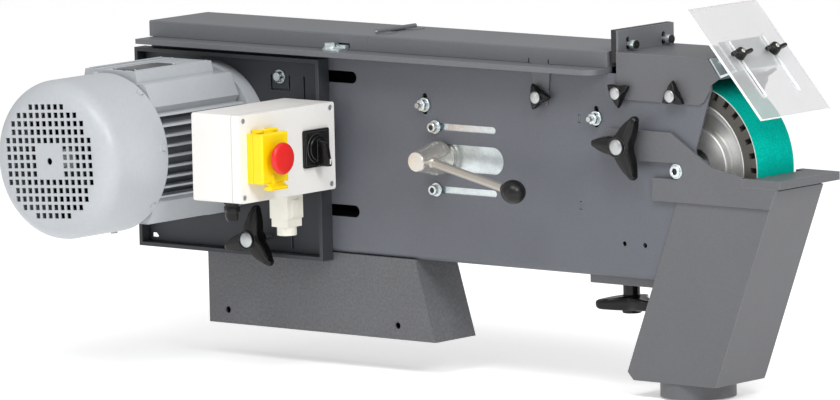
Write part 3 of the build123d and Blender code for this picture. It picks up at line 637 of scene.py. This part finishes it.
# the handle's side outline, (height, along) in mm, and its white pointer mark
selector = {"bar": [(4.4, 13), (20, 7), (22, 5), (26.4, -20), (25.6, -23), (4.4, -23)], "barHalf": 3.8,
            "mark": [(27.0, 13), (26.7, 20), (26.2, 20), (26.2, 13)], "markHalf": 0.9,
            "rim": [(17.6, 4.2), (19.4, 4.2), (19.4, 4.8), (18.6, 5.2), (17.6, 5.0)],
            "disc": [(0, -11), (4.4, -11), (4.4, 4.4), (17, 4.5), (17, 7), (16, 8), (0, 8)]}


def makeSelector():
    d, whole, spot = selector, bmesh.new(), middle("selector_plate")
    place = sideOn(low("selector_plate").x, spot.y, spot.z)
    addPrism(whole, place, roundedOutline(50, 50, 3), 0, 4, 0, 0.7)
    addPrism(whole, place, roundedOutline(44, 44, 2), 3.6, 4.3, 0, 0.3)
    addLathe(whole, place, d["rim"], 0, 64, True)
    finishPiece(whole, "selectorPlate", "carriage", ["black_plastic"], ("selector_plate",))
    whole, spot = bmesh.new(), at("selector_turn")
    place = sideOn(low("selector_plate").x, spot.y, spot.z)
    addLathe(whole, place, d["disc"], 0, 56)
    side = stand(place.translation, (1, 0, 0), (0, 1, 0))
    addPrism(whole, side, [(x, -z) for x, z in d["bar"]], -d["barHalf"], d["barHalf"], 0, 1.3)
    addPrism(whole, side, d["mark"], -d["markHalf"], d["markHalf"], 1, 0)
    finishPiece(whole, "selectorHandle", "selector", ["black_plastic", "white_plastic"],
                ("selector_knob",))


# locknut, neck and dome sections, (radius, height) in mm; the mouth holds no cord
gland = {"hex": 11, "locknut": [(5, 0), (8, 0), (8, 6), (5, 6)],
         "neck": [(0, 11.4), (9.2, 11.4), (9.2, 13.4), (0, 13.4)],
         "dome": [(0, 21.6), (9.6, 21.6), (9.4, 27), (8.2, 31), (6.4, 33.6), (5.2, 34), (5, 33), (5, 28),
                  (0, 28)]}


def makeGland():
    whole, spot = bmesh.new(), middle("cable_gland")
    under = stand((spot.x, spot.y, high("cable_gland").z), (1, 0, 0), (0, 0, -1))
    addLathe(whole, under, gland["locknut"], 0, 40, True)
    addPrism(whole, under, polygon(gland["hex"], 6, 10), 6, 11.5, 0, 0.6)
    addLathe(whole, under, gland["neck"], 0, 40)
    addPrism(whole, under, polygon(gland["hex"], 6, 25), 13.4, 22, 0, 0.8)
    addLathe(whole, under, gland["dome"], 0, 48)
    finishPiece(whole, "cableGland", "carriage", ["black_plastic"], ("cable_gland",))


seamSize = {"proud": 0.3, "half": 0.45, "corner": 3.6}


def makeSeam():
    # the joint line between the switch box and its lid
    d, whole, centre = seamSize, bmesh.new(), middle("switch_box")
    size = (high("switch_box") - low("switch_box")) / mm
    outline = roundedOutline(size.y + d["proud"], size.z + d["proud"], d["corner"])
    place = sideOn(high("switch_box").x, centre.y, centre.z)
    addPrism(whole, place, outline, -d["half"], d["half"], 0, 0)
    finishPiece(whole, "switchSeam", "carriage", ["seamShadow"])


# hub section and the side outline of one wing, in mm
wing = {"hub": [(3, 0.4), (8, 0.4), (8.2, 1.2), (7.6, 6), (7, 9.4), (6.2, 10), (3.2, 10)], "half": 1.9,
        "outline": [(5, 2.6), (12, 2.2), (18, 3.4), (21, 6), (21, 9.5), (18.6, 11.5), (14, 11), (9, 8.6),
                    (5, 8)],
        "stud": [(0, -12), (2.9, -12), (2.9, 10.9), (2.2, 12), (0, 12)]}


def makeWingKnobs():
    for side in ("near", "far"):
        name, whole = "wing_knob_" + side, bmesh.new()
        joint = name + "_turn"
        place = stand(at(joint), (0, 1, 0), joints[joint]["axis"])
        addLathe(whole, place, wing["hub"], 0, 40, True)
        for way in (-1, 1):
            fin = stand(at(joint), (0, way, 0), joints[joint]["axis"])
            upright = fin @ Matrix.Rotation(math.pi / 2, 4, "X")
            addPrism(whole, upright, wing["outline"], -wing["half"], wing["half"], 0, 1.0)
        addLathe(whole, place, wing["stud"], 1, 24)
        finishPiece(whole, name + "Wings", "shield_clamp_" + side, ["black_plastic", "chrome"], (name,))


def addFaceFinish(name, finish, chosen):  # a second finish on the chosen faces of a CAD node
    node = nodes[name]
    node.data.materials.append(looks[finish])
    for face in node.data.polygons:
        face.material_index = 1 if chosen(face) else 0
    node.material_slots[1].link = "OBJECT"
    node.material_slots[1].material = looks[finish]


finRoot = 0.0875  # metres from the motor's axis


def makeFaceFinishes():
    # the sheet's sawn edges and slot walls scatter the light, its faces don't
    out, spot = Vector(joints["wing_knob_near_turn"]["axis"]), at("rotor_spin")
    addFaceFinish("shield", "sawnEdge", lambda face: abs(face.normal.dot(out)) < 0.5)
    # painted shade: motor body faces closer to the axis than finRoot, between the fins, are painted darker
    addFaceFinish("motor_body", "finShade", lambda face: math.hypot(
        face.center.x - spot.x, face.center.z - spot.z) < finRoot)
    # painted shade: the tray and the plate get the darker tray finish
    for name in ("motor_plate", "motor_tray"):
        nodes[name].material_slots[0].material = looks["trayPaintedShade"]


crown = {"ribs": (-40, -20, 40), "ribWide": 3.2, "ribFrom": 8, "ribTo": 150,
         "plateAt": (16, 54), "plateSize": (40, 84), "rivetAt": (17, 38)}


def makeCrownTop():
    # thin cast ribs on top of the motor, and its blank rating plate
    d, top, spot, start = crown, high("motor_body").z, at("rotor_spin"), low("motor_body").y
    whole, length = bmesh.new(), d["ribTo"] - d["ribFrom"]
    outline = roundedOutline(d["ribWide"], length, 1.2)
    for x in d["ribs"]:
        centre = (spot.x + x * mm, start + (d["ribFrom"] + length / 2) * mm, top)
        addPrism(whole, Matrix.Translation(centre), outline, -1, 1.1, 0, 0.5)
    finishPiece(whole, "crownRibs", "motor_unit", ["motor_paint"])
    whole, (x, y), (rivetX, rivetY) = bmesh.new(), d["plateAt"], d["rivetAt"]
    place = Matrix.Translation((spot.x + x * mm, start + y * mm, top))
    addPrism(whole, place, roundedOutline(*d["plateSize"], 2), -1, 0.7, 0, 0.15)
    for x in (-rivetX, rivetX):
        for y in (-rivetY, rivetY):
            rivet = place @ Matrix.Translation((x * mm, y * mm, 0))
            addLathe(whole, rivet, [(0, 0.4), (1.8, 0.4), (1.6, 1.2), (0, 1.5)], 1, 20)
    finishPiece(whole, "ratingPlate", "motor_unit", ["darkLabel", "zinc"])


def makeFlapCatch():
    # the catch that pulls the yellow flap open
    whole, spot = bmesh.new(), middle("stop_flap")
    place = sideOn(low("stop_base").x, spot.y, low("stop_base").z)
    addPrism(whole, place, roundedOutline(34, 5.4, 2, 6, 0, -6.2), 19, 32, 0, 1.0)
    addPrism(whole, place, roundedOutline(24, 1.4, 0.6, 4, 0, -6.2), 31, 32.15, 1, 0)
    addPrism(whole, place, roundedOutline(7, 16, 2, 6, -4, 4), 24, 27.4, 0, 0.8)
    finishPiece(whole, "flapCatch", "stop_cover", ["yellow_plastic", "black_plastic"])


lidNotch = {"at": (275.7, 308.5), "wide": 1.8, "tall": 6.4, "lift": 3.0}


def makeLidNotches():
    # relief notches on both sides of the lid's tab, drawn as thin dark plates flush with the lid: painted shade
    # for the open notches
    d, whole, lid = lidNotch, bmesh.new(), low("hinged_lid")
    for x in d["at"]:
        notch = facing(lid.x + x * mm, lid.y, low("fixed_cover").z + d["lift"] * mm)
        addPrism(whole, notch, roundedOutline(d["wide"], d["tall"], 0.7), -0.6, 0.05, 0, 0)
    finishPiece(whole, "lidNotches", "lid", ["black_plastic"])


makeMushroom()
makeSelector()
makeGland()
makeSeam()
makeWingKnobs()
makeFaceFinishes()
makeCrownTop()
makeFlapCatch()
makeLidNotches()
print("controls and shield made")

view = {"place": (7.5893, -8.7797, 1.6443), "look": (-0.64176701, 0.75645244, -0.12615391),
        "roll": -0.023, "lens": 379.8, "sensor": 36, "reach": 60}


def makeCamera(v):
    look = Vector(v["look"]).normalized()
    azimuth = math.atan2(look.x, look.y)
    across = Vector((math.cos(azimuth), -math.sin(azimuth), 0))
    up = across.cross(look)
    right = across * math.cos(v["roll"]) + up * math.sin(v["roll"])
    top = up * math.cos(v["roll"]) - across * math.sin(v["roll"])
    data = bpy.data.cameras.new("camera")
    data.lens, data.sensor_width, data.clip_end = v["lens"], v["sensor"], v["reach"]
    camera = bpy.data.objects.new("camera", data)
    turn = Matrix((right, top, -look)).transposed()
    camera.matrix_world = Matrix.Translation(v["place"]) @ turn.to_4x4()
    bpy.context.scene.collection.objects.link(camera)
    bpy.context.scene.camera = camera


def makeLamp(name, place, aim, size, watts):
    data = bpy.data.lights.new(name, "AREA")
    data.shape, data.size, data.size_y, data.energy = "RECTANGLE", size[0], size[1], watts
    lamp = bpy.data.objects.new(name, data)
    way = (Vector(aim) - Vector(place)).normalized()
    lamp.matrix_world = Matrix.Translation(place) @ way.to_track_quat("-Z", "Y").to_matrix().to_4x4()
    bpy.context.scene.collection.objects.link(lamp)


# metres and watts; each lamp is (name, place, aim, size, watts)
studio = {"half": 14, "below": 0.002, "floorGlow": 0.37, "floorWhite": 0.93, "fill": 0.62,
          "lamps": [("keyLight", (1.1, -1.9, 2.9), (0.1, 0, 0.2), (1.6, 1.2), 42),
                    ("sideLight", (3.1, -1.3, 2.3), (-0.1, 0, 0.2), (1.0, 1.4), 56),
                    ("frontLight", (-1.2, -3.2, 0.9), (-0.2, 0, 0.2), (1.0, 1.4), 7)]}


def makeFloor():
    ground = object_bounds()[0].z
    half, mesh = studio["half"], bpy.data.meshes.new("floor")
    corners = [(-half, -half), (half, -half), (half, half), (-half, half)]
    mesh.from_pydata([(x, y, ground - studio["below"]) for x, y in corners], [], [(0, 1, 2, 3)])
    floor = bpy.data.objects.new("floor", mesh)
    bpy.context.scene.collection.objects.link(floor)
    pale = bpy.data.materials.new("paleFloor")
    pale.use_nodes = True
    shader = pale.node_tree.nodes["Principled BSDF"]
    shader.inputs["Base Color"].default_value = (studio["floorWhite"],) * 3 + (1,)
    shader.inputs["Roughness"].default_value = 0.9
    shader.inputs["Emission Color"].default_value = (1, 1, 1, 1)
    shader.inputs["Emission Strength"].default_value = studio["floorGlow"]
    mesh.materials.append(pale)


def makeStudio():
    makeFloor()
    world = bpy.data.worlds.new("studio")
    world.use_nodes = True
    tree = world.node_tree
    seen = addNode(tree, "ShaderNodeLightPath").outputs["Is Camera Ray"]
    # the backdrop is pure white to the camera, and softer as fill light
    strength = addNode(tree, "ShaderNodeMapRange", {
        "Value": seen, "To Min": studio["fill"], "To Max": 1.0})
    tree.nodes["Background"].inputs["Color"].default_value = (1, 1, 1, 1)
    tree.links.new(strength.outputs[0], tree.nodes["Background"].inputs["Strength"])
    bpy.context.scene.world = world
    for lamp in studio["lamps"]:
        makeLamp(*lamp)


makeCamera(view)
makeStudio()
bpy.context.scene.view_settings.view_transform = "Standard"
print("camera and studio made")
